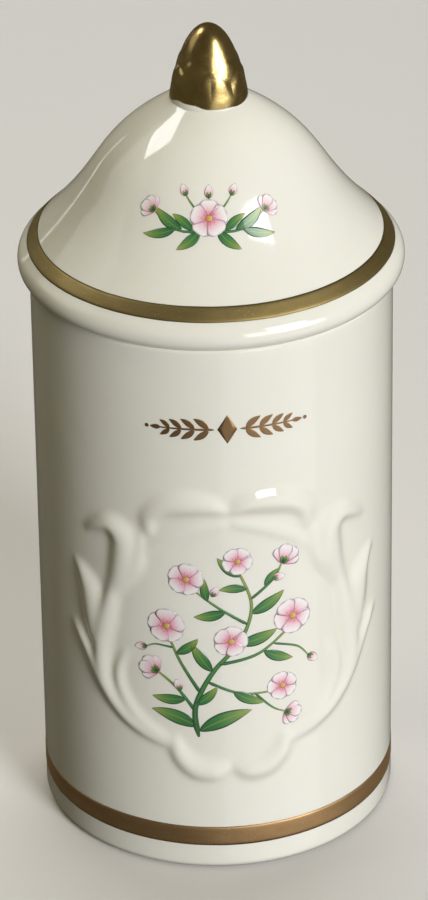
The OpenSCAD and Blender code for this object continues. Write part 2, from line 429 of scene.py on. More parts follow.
def painted(name, along, edge, tip=None, vein=0.0, gloss=0.14):
    """Enamel on a painted shape: colour along it, an outline, a pale vein and fine brush streaks.

    along: stops of the colour from root to tip; edge: where the outline starts across and its colour;
    tip: where the outline starts along, if it goes round the tip; vein: strength of the middle line.
    """
    material, tree, shader = new_material(name)
    place = coords(tree, "UV")
    split = add_node(tree, "ShaderNodeSeparateXYZ", {"Vector": place})
    streak = noise(tree, stretched(tree, place, (3, 26, 1)), roughness=0.6)
    sway = maths(tree, "MULTIPLY", maths(tree, "SUBTRACT", streak, 0.5), 0.5)
    body = ramp(tree, maths(tree, "ADD", split.outputs["X"], sway), *along)
    off = off_middle(tree, split.outputs["Y"])
    middle = maths(tree, "MULTIPLY", ramp(tree, off, (0.02, grey(1)), (0.16, grey(0))), vein)
    body = mixed(tree, middle, body, along[-1][1])
    edge_from, edge_colour = edge
    line = ramp(tree, off, (edge_from, grey(0)), (1.0, grey(1)))
    if tip is not None:
        end = ramp(tree, split.outputs["X"], (tip, grey(0)), (1.0, grey(1)))
        line = maths(tree, "MAXIMUM", line, end)
    fill(tree, shader, {
        "Base Color": mixed(tree, line, body, edge_colour),
        "Roughness": ramp(tree, streak, (0.3, grey(gloss)), (0.7, grey(gloss + 0.08))),
        "Coat Weight": 0.3,
        "Coat Roughness": COAT_ROUGHNESS,
    })
    return material


porcelain = porcelain_material()
lid_gilding = gilding_material("lid_gold_line", LID_LINE_W, LID_GOLD)
foot_gilding = gilding_material("foot_gold_line", FOOT_LINE_W, FOOT_GOLD)
bud_gold = bud_material()
silicone = silicone_material()


# Scroll frame: on the right of its middle line, each scroll is a row of points
# [along the wall, up from the frame's middle, half width of its outer slope, share of the relief],
# and its steep outer slope is on the left of its way

SCROLLS = [
    [(11.7, 17.8, 0.7, 0.4), (11.5, 20.1, 1.1, 0.65), (9.4, 21.9, 1.4, 0.75), (6.2, 22.7, 1.6, 0.8),
     (2.8, 22.6, 1.2, 0.65), (0.7, 21.8, 0.5, 0.35)],
    [(1, 19.8, 0.6, 0.2), (5, 18.8, 0.9, 0.26), (9.6, 16.6, 0.9, 0.26), (13, 13.8, 0.7, 0.2)],
    [(22.6, 15.2, 0.4, 0.35), (20.6, 16.4, 0.9, 0.7), (18, 17.2, 1.3, 0.95), (16.2, 15.4, 1.8, 1),
     (16.3, 12, 1.9, 0.95), (17.2, 8.6, 1.5, 0.75), (18.8, 5.2, 0.9, 0.4)],
    [(13.2, 17, 0.5, 0.3), (13.4, 13.8, 0.8, 0.55), (14.2, 10.8, 0.8, 0.5), (16, 7.8, 0.6, 0.3)],
    [(17.4, 7.8, 0.6, 0.4), (18.5, 5, 1.1, 0.75), (19.6, 1, 1.4, 0.9), (20.5, -3.6, 1.4, 1),
     (20.4, -7.5, 1.2, 1), (19.4, -10.8, 1.1, 0.95), (16.8, -14.3, 1.1, 0.85), (13.2, -16.8, 0.9, 0.65),
     (9.4, -18.4, 0.6, 0.4)],
    [(25.4, 8.6, 0.4, 0.35), (23.9, 7.4, 0.9, 0.75), (22.6, 5, 1.6, 0.95), (22, 1.6, 1.9, 0.95),
     (21.6, -2.6, 1.3, 0.8)],
    [(26.2, -2.2, 0.4, 0.35), (24.6, -3.6, 0.8, 0.75), (22.6, -6.2, 1, 0.9), (20.6, -9.8, 1, 0.9),
     (18.4, -13, 0.9, 0.75)],
    [(15.9, -3.4, 0.3, 0.2), (17.3, -7, 0.7, 0.55), (16.9, -10.4, 0.8, 0.6), (14.8, -13.8, 0.8, 0.56),
     (12, -16.2, 0.8, 0.5), (8.9, -17.8, 0.6, 0.4)],
    [(8.4, -17.4, 0.7, 0.5), (7.8, -20, 1.2, 0.75), (5.5, -22.3, 1.5, 0.8), (2.7, -22.8, 1.4, 0.7),
     (0.9, -22, 0.6, 0.4)],
]
# Steps between two points of a scroll
SCROLL_STEPS = 24
# How softly two scrolls run into each other, and how far the glaze rounds a scroll's foot
BLEND = 5
FOOT_SOFT = 1.15
# Powers that shape a scroll's outer and inner slope
OUTER_FALL = 1.15
INNER_FALL = 1.6
# Share of the relief that still stands out of the glaze, and how the glaze softens it
GLAZE_LEAVES = 0.7
GLAZE_OWN = 2
GLAZE_PASSES = 12


def scroll_height(line, along, up):
    """Height of one scroll over the wall at each point, as a share of the relief."""
    ahead = np.gradient(line[:, :2], axis=0)
    off = np.stack([along[:, None] - line[:, 0], up[:, None] - line[:, 1]])
    outer = ahead[:, 0] * off[1] - ahead[:, 1] * off[0] > 0
    away = np.hypot(*off) / (line[:, 2] * FOOT_SOFT * np.where(outer, 1, INNER_SPREAD))
    nearest = away.argmin(1)
    picked = np.arange(len(along)), nearest
    q = np.clip(away[picked], 0, 1)
    return line[nearest, 3] * (1 - q * q) ** np.where(outer[picked], OUTER_FALL, INNER_FALL)


def frame_height(along, up):
    """Height of the whole frame over the wall at each point of a grid."""
    side = np.abs(along).ravel()
    level = up.ravel() - FRAME_Z
    total = np.zeros(side.size)
    for points in SCROLLS:
        line = through(points, SCROLL_STEPS)
        reach = line[:, 2].max() * FOOT_SOFT * INNER_SPREAD
        near = (side > line[:, 0].min() - reach) & (side < line[:, 0].max() + reach)
        near &= (level > line[:, 1].min() - reach) & (level < line[:, 1].max() + reach)
        total[near] += scroll_height(line, side[near], level[near]) ** BLEND
    height = (GLAZE_LEAVES * RELIEF * total ** (1 / BLEND)).reshape(along.shape)
    return smoothed(height, GLAZE_OWN, GLAZE_PASSES)


# Jar

# Step of the mesh over the frame, and columns round the back
FINE = 0.24
BACK_COLUMNS = 150
# The wall that holds the frame: half its length round, its lower and its upper end
FRAME_SPAN = 28
FRAME_LOW = 14
FRAME_TOP = 67
# Painted shade beside the scrolls: how widely it spreads from a scroll, and how strongly a hollow is
# darkened
SHADE_PASSES = 10
SHADE_GAIN = 3


def jar_angles():
    """Columns of the jar's mesh: fine over the frame, wider round the back. Angle 0 is the front."""
    half = FRAME_SPAN / JAR_R
    front = np.linspace(-half, half, int(2 * FRAME_SPAN / FINE))
    back = np.linspace(half, 2 * math.pi - half, BACK_COLUMNS)[1:-1]
    return np.concatenate([front, back])


def make_jar():
    floor_z = FOOT_RECESS + FLOOR_T
    recess_r = JAR_R - FOOT_ROUND - FOOT_RING_W
    before = np.vstack([
        straight((POLE_R, FOOT_RECESS), (recess_r - FOOT_RECESS, FOOT_RECESS), 14),
        straight((recess_r - FOOT_RECESS, FOOT_RECESS), (recess_r, 0), 6)[1:],
        arc((JAR_R - FOOT_ROUND, FOOT_ROUND), FOOT_ROUND, 180, 90, 12),
    ])
    outside = np.vstack([
        straight((JAR_R, FOOT_ROUND), (JAR_R, FRAME_LOW), 12)[1:-1],
        straight((JAR_R, FRAME_LOW), (JAR_R, FRAME_TOP), int((FRAME_TOP - FRAME_LOW) / FINE)),
        straight((JAR_R, FRAME_TOP), (JAR_R, JAR_H - RIM_ROUND), 18)[1:-1],
    ])
    after = np.vstack([
        arc((JAR_R - RIM_ROUND, JAR_H - RIM_ROUND), RIM_ROUND, 90, 0, 10),
        arc((MOUTH_R + RIM_ROUND, JAR_H - RIM_ROUND), RIM_ROUND, 0, -90, 10),
        straight((MOUTH_R, JAR_H - RIM_ROUND), (MOUTH_R, floor_z + FLOOR_FILLET), 24)[1:-1],
        arc((MOUTH_R - FLOOR_FILLET, floor_z + FLOOR_FILLET), FLOOR_FILLET, 90, 180, 14),
        straight((MOUTH_R - FLOOR_FILLET, floor_z), (POLE_R, floor_z), 12)[1:],
    ])
    profile = np.vstack([before, outside, after])
    angles = jar_angles()
    along = np.where(angles > math.pi, angles - 2 * math.pi, angles) * JAR_R
    height = np.zeros((len(profile), len(angles)))
    rows = slice(len(before), len(before) + len(outside))
    height[rows] = frame_height(*np.broadcast_arrays(along[None, :], outside[:, 1:]))
    china = turned_object("jar_china", profile, angles, porcelain, height, poles=True)
    # Painted shade: the hollows beside the scrolls get a warmer, darker tone of the glaze
    shade_in_hollows = np.clip((smoothed(height, 1, SHADE_PASSES) - height) * SHADE_GAIN, 0, 1)
    mark(china, "hollow_shade", shade_in_hollows, [0, 0])
    return china


# Lid

LID_COLUMNS = 256

rim_z = JAR_H + LIP_ROLL
roll_centre = np.array([LID_R - RIM_ROLL, rim_z])
down_shoulder = np.array([math.cos(SHOULDER_SLOPE), -math.sin(SHOULDER_SLOPE)])
out_of_shoulder = np.array([math.sin(SHOULDER_SLOPE), math.cos(SHOULDER_SLOPE)])
shoulder_foot = roll_centre + RIM_ROLL * out_of_shoulder
shoulder_top = shoulder_foot - SHOULDER_W * down_shoulder
dome_start = np.array([BUD_R + COLLAR_W, CROWN_Z - COLLAR_H])
dome_span = np.linalg.norm(shoulder_top - dome_start)
down_crown = np.array([math.cos(CROWN_SLOPE), -math.sin(CROWN_SLOPE)])
dome = bezier(dome_start, dome_start + CROWN_HOLD * dome_span * down_crown,
              shoulder_top - SHOULDER_HOLD * dome_span * down_shoulder, shoulder_top, 90)
collar_corner = (BUD_R, dome_start[1] + COLLAR_W * math.tan(CROWN_SLOPE))
collar = bezier((BUD_R, CROWN_Z), collar_corner, collar_corner, dome_start, 16)


def make_lid():
    inside = dome - LID_WALL * normals(dome)
    inside = inside[inside[:, 0] < PLUG_BORE_R]
    groove_z = JAR_H - GROOVE_DROP - GROOVE_W
    groove_r = PLUG_R - GROOVE_DEPTH
    e = EDGE_ROUND
    profile = np.vstack([
        straight((POLE_R, CROWN_Z), (BUD_R, CROWN_Z), 6)[:-1],
        collar[:-1],
        dome,
        straight(shoulder_top, shoulder_foot, 8)[1:-1],
        arc(roll_centre, RIM_ROLL, math.degrees(SHOULDER_SLOPE), 90, 14),
        arc((LID_R - LIP_ROLL, rim_z), LIP_ROLL, 90, 180, 18)[1:],
        straight((LID_R - LIP_ROLL, JAR_H), (PLUG_R + e, JAR_H), 6)[1:-1],
        arc((PLUG_R + e, JAR_H - e), e, 0, -90, 5),
        arc((PLUG_R - e, groove_z + GROOVE_W + e), e, 90, 180, 5),
        arc((groove_r + e, groove_z + GROOVE_W - e), e, 0, -90, 5),
        arc((groove_r + e, groove_z + e), e, -90, -180, 5),
        arc((PLUG_R - e, groove_z - e), e, 0, 90, 5),
        arc((PLUG_R - RIM_ROUND, PLUG_Z + RIM_ROUND), RIM_ROUND, 90, 180, 8),
        arc((PLUG_BORE_R + RIM_ROUND, PLUG_Z + RIM_ROUND), RIM_ROUND, 180, 270, 8),
        inside[::-1],
        straight(inside[0], (POLE_R, inside[0][1]), 5)[1:],
    ])
    return turned_object("lid_china", profile, even_angles(LID_COLUMNS), porcelain, poles=True)


# Gold lines

LINE_COLUMNS = 720
# How far the gold stands over the glaze, reaches into it, and wanders at its edges
GOLD_LIFT = 0.06
GOLD_SINK = 0.05
GOLD_WANDER = 0.05


def brushed_edge(angles, seed):
    """How far a hand-banded line wanders at its edge, round the jar."""
    r = np.random.default_rng(seed)
    waves = [(n, r.normal() / n, r.uniform(0, 2 * math.pi)) for n in range(2, 60)]
    wander = sum(size * np.cos(n * angles + shift) for n, size, shift in waves)
    return GOLD_WANDER * wander / np.abs(wander).max()


def make_line(name, start, end, out, material, seed):
    """A thin closed gold ring between two points of a profile, with edges that wander a little."""
    angles = even_angles(LINE_COLUMNS)
    width = np.linalg.norm(end - start)
    along = (end - start) / width
    across = np.linspace(0, 1, 9)[:, None]
    first, last = brushed_edge(angles, seed), brushed_edge(angles, seed + 1)
    place = first + across * (width + last - first)
    lift = GOLD_LIFT * (1 - (2 * across - 1) ** 8) * np.ones_like(place)
    place = np.vstack([place, place[-1:], place[:1]])
    lift = np.vstack([lift, np.full((2, len(angles)), -GOLD_SINK)])
    points = round_axis(start[0] + along[0] * place + out[0] * lift, angles,
                        start[1] + along[1] * place + out[1] * lift)
    uv = np.stack(np.broadcast_arrays(angles / (2 * math.pi), place / UV_SPAN), -1)
    return ring_object(name, points, uv, material, wrap_rows=True)


# Bud

BUD_COLUMNS = 360
# Two rings of petals, the inner one first: turn as a share of a step, height of the tip, thickness
PETAL_RINGS = ((0.5, 1.25 * PETAL_H, 0.13), (0, PETAL_H, 0.24))
# Heights over the foot where the petals start to part and where they are apart
PETALS_PART = (0.8, 3.2)
# A petal's width as a share of its step, and the powers that narrow it to its tip
PETAL_SPREAD = 1.06
PETAL_TAPER = (2.6, 0.8)
# How softly a petal ends: in turn at its sides, in height round its tip
PETAL_SIDE = 0.17
PETAL_END = (-0.2, 1.1)
# Share of a petal's thickness that only its rounded middle has
PETAL_RIB = 0.3
# How far the bud swells at its foot to meet the collar, and up to which height
FOOT_SWELL = 0.16
FOOT_SWELL_H = 2.4
# The foot's lap over the collar, and its rings: out from the collar, up from the lap's edge
FOOT_LAP = 0.07
LAP_RINGS = ((-0.05, 0), (0.02, -0.01), (0.05, 0.04))
# The lap's end, out from the petals and up from the crown, and the rings' shares of the way to it
LAP_END = (0.03, 0.1)
LAP_SHARES = (0.35, 0.7)
# How far the lowest petals are raised for the lap, and up to which height
FOOT_RAISE = 0.15
FOOT_RAISE_H = 0.6
# Depth under the crown where the bud is closed
BUD_UNDER = 0.9
# The gold's brushed edge over the crown, half its softness, and its waves: count, size, shift
GOLD_EDGE_Z = 0.1
GOLD_EDGE_SOFT = 0.05
GOLD_EDGE = ((3, 0.06, 2.2), (5, 0.05, 0.6), (8, 0.04, 4.0), (13, 0.02, 1.1))
# A bay in that edge, where the brush missed the foot: turn, half width, height
GOLD_BAY = (math.radians(-42), math.radians(27), 0.6)


def bud_outline(share):
    """Radius and height of the bud's smooth core at a share of its outline, foot to tip."""
    foot_r = BUD_R - PETAL_T
    side = bezier((foot_r, 0), (foot_r, BUD_H * BUD_UPRIGHT),
                  (BUD_R * BUD_FULLNESS, BUD_H), (0, BUD_H), 200)
    length = path_length(side)
    return np.stack([np.interp(share * length[-1], length, side[:, k]) for k in (0, 1)], 1)


def petal_rise(angles, z):
    """How far the petals stand out from the core: rounded leaves with a soft rib and edge."""
    step = 2 * math.pi / PETALS
    by_height, by_width = PETAL_TAPER
    apart = smoothstep(*PETALS_PART, z)
    rise = np.zeros((len(z), len(angles)))
    for turn, tip, thick in PETAL_RINGS:
        local = np.abs((angles + turn * step + step / 2) % step - step / 2)
        half = step / 2 * PETAL_SPREAD * (1 - np.clip(z / tip, 0, 1) ** by_height) ** by_width
        inside = smoothstep(-PETAL_SIDE, PETAL_SIDE, half - local)
        below = smoothstep(*PETAL_END, tip - z)
        crown = 1 - PETAL_RIB + PETAL_RIB * np.clip(1 - (local / (half + 0.01)) ** 2, 0, 1)
        rise += thick * below * (1 - apart * (1 - inside * crown))
    return rise + FOOT_SWELL * smoothstep(FOOT_SWELL_H, 0, z)


def lap_rings(foot_r):
    """Radii and heights of the rings that lead from inside the lid over the collar to the bud's foot."""
    edge_z = CROWN_Z - FOOT_LAP
    collar_r = np.interp(-edge_z, -collar[:, 1], collar[:, 0])
    rings = [(POLE_R, CROWN_Z - BUD_UNDER)]
    rings += [(collar_r + out, edge_z + up) for out, up in LAP_RINGS]
    last_r, last_z = rings[-1]
    for share in LAP_SHARES:
        rings.append((last_r * (1 - share) + (foot_r + LAP_END[0]) * share,
                      last_z * (1 - share) + (CROWN_Z + LAP_END[1]) * share))
    return [np.stack([np.broadcast_to(ring[k], foot_r.shape) for ring in rings]) for k in (0, 1)]


def gold_start(angles):
    """Height over the crown where the gold starts, round the bud."""
    turn, half, height = GOLD_BAY
    away = (angles - turn + math.pi) % (2 * math.pi) - math.pi
    waves = sum(size * np.sin(n * angles + shift) for n, size, shift in GOLD_EDGE)
    return GOLD_EDGE_Z + waves + height * np.exp(-(away / half) ** 4)


def make_bud():
    angles = even_angles(BUD_COLUMNS)
    core = bud_outline(np.linspace(0, 0.995, 150))
    rise = petal_rise(angles, core[:, 1:])
    petals = turned(core, angles, rise)
    petals[..., 2] += CROWN_Z + FOOT_RAISE * np.clip(1 - core[:, 1:] / FOOT_RAISE_H, 0, 1)
    lap_r, lap_z = lap_rings(core[0, 0] + rise[0])
    points = np.concatenate([round_axis(lap_r, angles, lap_z), petals])
    profile = np.vstack([np.stack([lap_r.mean(1), lap_z.mean(1) - CROWN_Z], 1), core])
    gilt = ring_object("bud", points, turned_uv(profile, angles), bud_gold, poles=True)
    over_edge = points[..., 2] - CROWN_Z - gold_start(angles)
    mark(gilt, "bare", smoothstep(GOLD_EDGE_SOFT, -GOLD_EDGE_SOFT, over_edge), [1, 0])
    return gilt


# Seal

def rounded_loop(corners, r):
    """A closed outline with each corner replaced by a short curve."""
    points = []
    t = np.linspace(0, 1, 6)[:, None]
    corners = np.array(corners, float)
    for before, corner, after in zip(np.roll(corners, 1, 0), corners, np.roll(corners, -1, 0)):
        a = corner + (before - corner) * r / np.linalg.norm(before - corner)
        b = corner + (after - corner) * r / np.linalg.norm(after - corner)
        points.append((1 - t) ** 2 * a + 2 * (1 - t) * t * corner + t * t * b)
    return np.vstack(points)


def make_seal():
    """Soft ring with two lips that lean up and out."""
    inner = PLUG_R - GROOVE_DEPTH + SEAL_PLAY
    middle = (SEAL_LOW + SEAL_TOP) / 2
    corners = [
        (inner, SEAL_LOW), (PLUG_R, SEAL_LOW),
        (SEAL_R, middle - SEAL_LIP_T), (SEAL_R, middle), (PLUG_R, middle),
        (SEAL_R, SEAL_TOP - SEAL_LIP_T), (SEAL_R, SEAL_TOP), (inner, SEAL_TOP),
    ]
    profile = rounded_loop(corners, SEAL_ROUND)
    return turned_object("soft_seal", profile, even_angles(LID_COLUMNS), silicone, wrap_rows=True)


# Pieces that stand for the CAD nodes

jar = make_jar()
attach(jar, "jar")
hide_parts("jar_body")

lid = make_lid()
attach(lid, "lid")
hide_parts("lid")

foot_line = make_line("foot_gold", np.array([JAR_R, FOOT_LINE_LOW]), np.array([JAR_R, FOOT_LINE_TOP]),
                      np.array([1.0, 0.0]), foot_gilding, seed=11)
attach(foot_line, "jar")
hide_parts("base_gilding")

lid_line = make_line("lid_gold", shoulder_top, shoulder_top + LID_LINE_W * down_shoulder, out_of_shoulder,
                     lid_gilding, seed=21)
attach(lid_line, "lid")
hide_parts("lid_gilding")

bud = make_bud()
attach(bud, "lid")
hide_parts("finial")

seal = make_seal()
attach(seal, "seal")
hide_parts("seal_ring")


# Paint: thin plates that follow the glaze, drawn flat as [along, up]

# How far the paint stands over the glaze and reaches into it, and how much each layer adds
PAINT_LIFT = 0.04
PAINT_SINK = 0.03
PAINT_STEP = 0.006
# The sprig's middle: turn from the front, and distance down the dome
SPRIG_TURN = math.radians(-5)
SPRIG_AT = 14.9

dome_path = path_length(dome)
dome_out = normals(dome)
sprig_r = np.interp(SPRIG_AT, dome_path, dome[:, 0])


def on_wall(along, up, out):
    """A point of the wall: along it from the front, up from the table, out from the glaze."""
    return round_axis(JAR_R + out, along / JAR_R, up)


def on_lid(along, up, out):
    """A point of the dome: round the lid from the sprig's middle, up the slope, out from the glaze."""
    at = SPRIG_AT - up
    r, z, out_r, out_z = (np.interp(at, dome_path, column) for column in (*dome.T, *dome_out.T))
    return round_axis(r + out_r * out, SPRIG_TURN + along / sprig_r, z + out_z * out)


class Painting:
    """Collects the thin closed plates of one paint into one mesh."""

    def __init__(self, place):
        self.place = place
        self.vertices, self.uvs, self.faces = [], [], []
        self.count = 0

    def add(self, flat, uv, layer=0):
        """Adds a plate over a grid of [along, up]; a higher layer lies over a lower one."""
        rows, columns = flat.shape[:2]
        size = rows * columns
        for out in (PAINT_LIFT + PAINT_STEP * layer, -PAINT_SINK):
            self.vertices.append(self.place(flat[..., 0], flat[..., 1], out).reshape(-1, 3))
            self.uvs.append(uv.reshape(-1, 2))
        top = np.arange(size).reshape(rows, columns) + self.count
        rim = np.concatenate([top[0], top[1:, -1], top[-1, -2::-1], top[-2::-1, 0]])
        a, b = rim[:-1], rim[1:]
        self.faces += [quads(top), quads(top[:, ::-1] + size), np.stack([b, a, a + size, b + size], -1)]
        self.count += 2 * size

    def finish(self, name, material):
        faces = np.vstack(self.faces).tolist()
        return mesh_object(name, np.vstack(self.vertices), np.vstack(self.uvs), faces, material)


# Half width that every painted shape keeps at its ends
END_W = 0.02
# Points along a painted petal, and the share of its length whose width the first one has
PETAL_POINTS = 15
PETAL_FROM = 0.06
# An open blossom, in shares of its radius: half width of a petal, heart, dots and their two rings
BLOSSOM_PETALS = 5
BLOSSOM_PETAL_W = 0.56
HEART_R = 0.17
DOT_R = 0.04
DOT_RINGS = (0.36, 0.30)
# A half-open blossom, in shares of its length: each petal's lean in degrees and reach, half width, curl
FAN_PETALS = ((-46, 0.86), (46, 0.86), (-18, 1), (18, 1))
FAN_PETAL_W = 0.36
FAN_CURL = 0.35
# Green cups, in shares of the blossom's length: each leaf's lean in degrees, length, width, curl, layer
FAN_CUP = ((-40, 0, 40), 0.42, 0.2, 0.6, 6)
CLOSED_CUP = ((-28, 28), 0.5, 0.2, 1, 2)
# Half width of a closed blossom, as a share of its length
CLOSED_W = 0.33


def ribbon(middle, half_width, columns=9):
    """A grid of [along, up] either side of a middle line, and its UVs."""
    across = np.linspace(-1, 1, columns)
    flat = middle[:, None] + normals(middle)[:, None] * (half_width[:, None] * across)[..., None]
    length = path_length(middle)[:, None]
    return flat, np.stack(np.broadcast_arrays(length / length[-1], across * 0.5 + 0.5), -1)


def bent_line(start, turn, length, bend, count=17):
    """A line of a given length that leaves at an angle and bends by another, in degrees."""
    a = np.radians(turn + bend * np.linspace(0, 1, count))
    step = length / (count - 1)
    walk = np.stack([np.cos(a), np.sin(a)], 1) * step
    return np.array(start) + np.vstack([[0, 0], np.cumsum(walk[:-1], axis=0)])


def lens(count, skew, fullness):
    """Half width along a shape with two pointed ends, as a share of its greatest."""
    return np.sin(math.pi * np.linspace(0, 1, count) ** skew) ** fullness


def petal_flare(widest, opening):
    """Half width along a petal that opens up to a share of its length and has a round end."""
    share = np.linspace(PETAL_FROM, 1, PETAL_POINTS)
    end = np.sqrt(np.clip(1 - ((share - widest) / (1 - widest)) ** 2, 0, 1))
    return np.where(share < widest, (share / widest) ** opening, end)


def leaf(painting, start, turn, length, width, bend, layer=0):
    middle = bent_line(start, turn, length, bend)
    painting.add(*ribbon(middle, width / 2 * lens(len(middle), 0.85, 0.85) + END_W), layer)


def stem(painting, points, start_w, end_w):
    middle = through(points, 10)
    share = np.linspace(0, 1, len(middle))
    half = (start_w + (end_w - start_w) * share) / 2 * np.minimum(1, 0.3 + 9 * share)
    painting.add(*ribbon(middle, half, 5))


def disc(painting, centre, r, layer=0):
    """A filled disc, as a square grid drawn round."""
    q = np.linspace(-1, 1, 9)
    u, v = np.meshgrid(q, q, indexing="ij")
    drawn_round = np.stack([u * np.sqrt(1 - v * v / 2), v * np.sqrt(1 - u * u / 2)], -1)
    painting.add(np.array(centre) + r * drawn_round, np.stack([u, v], -1) * 0.5 + 0.5, layer)


def cup(leaves, base, turn, length, leans, leaf_length, leaf_width, curl, layer):
    """The green leaves at a blossom's foot."""
    for lean in leans:
        leaf(leaves, base, turn + lean, length * leaf_length, length * leaf_width, -lean * curl, layer)


def blossom(petals, hearts, centre, r, turn):
    """A round open blossom: overlapping petals and a heart with its ring of dots."""
    half = BLOSSOM_PETAL_W * r * petal_flare(0.62, 0.9) + END_W
    for k in range(BLOSSOM_PETALS):
        middle = bent_line(centre, turn + k * 360 / BLOSSOM_PETALS, r, 0, PETAL_POINTS)
        petals.add(*ribbon(middle, half), k % 2 + 1)
    disc(hearts, centre, HEART_R * r, 4)
    for k in range(2 * BLOSSOM_PETALS):
        a = math.radians(turn + (k + 0.5) * 180 / BLOSSOM_PETALS)
        reach = DOT_RINGS[k % 2] * r
        disc(hearts, (centre[0] + reach * math.cos(a), centre[1] + reach * math.sin(a)), DOT_R * r, 5)


def side_blossom(petals, leaves, base, turn, length):
    """A half-open blossom seen from the side: a fan of petals in its green cup."""
    half = FAN_PETAL_W * length * petal_flare(0.66, 0.8) + END_W
    for k, (lean, reach) in enumerate(FAN_PETALS):
        middle = bent_line(base, turn + lean, length * reach, -lean * FAN_CURL, PETAL_POINTS)
        petals.add(*ribbon(middle, half), 1 + k)
    cup(leaves, base, turn, length, *FAN_CUP)


def closed_bud(petals, leaves, base, turn, length):
    """A closed blossom in its green cup."""
    middle = bent_line(base, turn, length, 0, 13)
    petals.add(*ribbon(middle, length * CLOSED_W * lens(len(middle), 0.8, 0.7) + END_W), 1)
    cup(leaves, base, turn, length, *CLOSED_CUP)


# Spray on the jar's front, inside the scroll frame

# Stems: points, width at the start and at the end
SPRAY_STEMS = (
    ([(-4.8, 23.4), (-5.2, 28.6), (-2.6, 34.6), (1.6, 40), (3.2, 46), (1, 52.4)], 0.95, 0.35),
    ([(-5, 27.6), (-7.8, 31.6), (-10.6, 34)], 0.65, 0.3),
    ([(-4.4, 31), (-7.4, 36.4), (-9.2, 41)], 0.6, 0.3),
    ([(-1.6, 36), (4.2, 37.4), (9, 41)], 0.6, 0.3),
    ([(2.6, 42.6), (-1.8, 45.8), (-5.6, 49)], 0.55, 0.28),
    ([(-3.4, 33), (1.6, 30.8), (6, 30.6)], 0.55, 0.28),
    ([(3.1, 46.8), (6.4, 49.6), (7.8, 52)], 0.5, 0.25),
    ([(6.4, 38.8), (10.2, 37.4), (12, 35.4)], 0.4, 0.22),
    ([(3.6, 30.6), (6.2, 27.8), (8.2, 26.6)], 0.4, 0.22),
    ([(-8.4, 38.6), (-11, 38.8), (-12.4, 38.2)], 0.35, 0.2),
)
# Leaves: start, turn in degrees, length, width, bend in degrees
SPRAY_LEAVES = (
    ((-4.7, 24.4), 34, 8.6, 2.5, -22), ((-4.9, 25.2), 150, 7.4, 2.3, 25), ((-6.6, 30), 196, 5.2, 1.7, -30),
    ((-2.6, 34.8), 132, 5.6, 1.8, -20), ((1.2, 39.4), 4, 6.2, 2.0, 28), ((3.1, 44.4), 20, 6.0, 1.9, 25),
    ((0.4, 31.2), -38, 5.2, 1.7, 24), ((5, 37.7), -36, 5.0, 1.7, 25), ((-0.6, 45), -156, 4.8, 1.7, -28),
    ((1.7, 50.8), 148, 4.8, 1.6, -25), ((-8, 37.6), 26, 4.4, 1.5, 30), ((2.6, 48.6), 168, 4.2, 1.4, 24),
    ((-5.2, 29), 30, 4.6, 1.5, 30), ((-3.2, 46.8), 110, 3.8, 1.3, -30), ((5.2, 48.8), 60, 3.6, 1.2, -30),
)
# Open blossoms: centre, radius, turn in degrees
SPRAY_BLOSSOMS = (
    ((-9.4, 42.2), 2.9, 20), ((9.5, 42.8), 3.0, 50), ((-6.4, 50.4), 2.7, 5), ((0.1, 39.9), 2.6, 75),
    ((7.8, 31.2), 2.4, 33), ((1.2, 53.4), 2.3, 58),
)
# Half-open and closed blossoms: base, turn in degrees, length
SPRAY_SIDE_BLOSSOMS = (((-10.7, 34.1), 152, 3.2), ((7.9, 52.1), 58, 3.2), ((8.2, 26.6), -28, 2.8))
SPRAY_BUDS = (
    ((12, 35.4), -40, 2.2), ((-12.4, 38.2), 192, 2.0), ((6.4, 49.8), 8, 2.0), ((-2.6, 47.6), 62, 1.9),
    ((-7.4, 31.3), 110, 2.0),
)


def make_spray():
    leaves, petals, hearts = (Painting(on_wall) for _ in range(3))
    for row in SPRAY_STEMS:
        stem(leaves, *row)
    for row in SPRAY_LEAVES:
        leaf(leaves, *row)
    for row in SPRAY_BLOSSOMS:
        blossom(petals, hearts, *row)
    for row in SPRAY_SIDE_BLOSSOMS:
        side_blossom(petals, leaves, *row)
    for row in SPRAY_BUDS:
        closed_bud(petals, leaves, *row)
    return leaves, petals, hearts


# Sprig on the lid: the rows of its right half are as the spray's, and the left half mirrors them

SPRIG_STEMS = (
    ([(0, -1.4), (4, -1.7), (8.2, 0.6)], 0.5, 0.22), ([(0.6, 0), (2.8, 2.4), (3.6, 3.4)], 0.35, 0.22),
)
SPRIG_LEAVES = (
    ((3.6, -1.6), 20, 5.2, 1.6, 26), ((4.6, -1.5), -32, 4.6, 1.4, 30), ((1.2, -1.5), -58, 4.2, 1.5, 26),
    ((2.2, -1.6), 44, 3.8, 1.3, -20),
)
SPRIG_SIDE_BLOSSOM = ((8.1, 0.5), 34, 2.5)
SPRIG_BUD = ((3.5, 3.3), 56, 2.0)
SPRIG_TOP_BUD = ((0, 3), 90, 2.1)
SPRIG_BLOSSOM = ((0, 0.2), 2.75, 90)


def flipped(side, point, turn, *sizes):
    """A point and a turn in degrees, mirrored where side is -1, and sizes as they are."""
    return (side * point[0], point[1]), 90 - side * (90 - turn), *sizes


def make_sprig():
    leaves, petals, hearts = (Painting(on_lid) for _ in range(3))
    for side in (1, -1):
        for points, start_w, end_w in SPRIG_STEMS:
            stem(leaves, [(side * x, y) for x, y in points], start_w, end_w)
        for *row, bend in SPRIG_LEAVES:
            leaf(leaves, *flipped(side, *row), side * bend)
        side_blossom(petals, leaves, *flipped(side, *SPRIG_SIDE_BLOSSOM))
        closed_bud(petals, leaves, *flipped(side, *SPRIG_BUD))
    closed_bud(petals, leaves, *SPRIG_TOP_BUD)
    blossom(petals, hearts, *SPRIG_BLOSSOM)
    return leaves, petals, hearts


# Gold ornament above the frame: two leafy arms either side of a lozenge

ORNAMENT_Z = 75.4
# An arm's stem: points along it, width at the start and at the end
ARM_POINTS = (1.9, 5, 8, 10)
ARM_W = (0.4, 0.2)
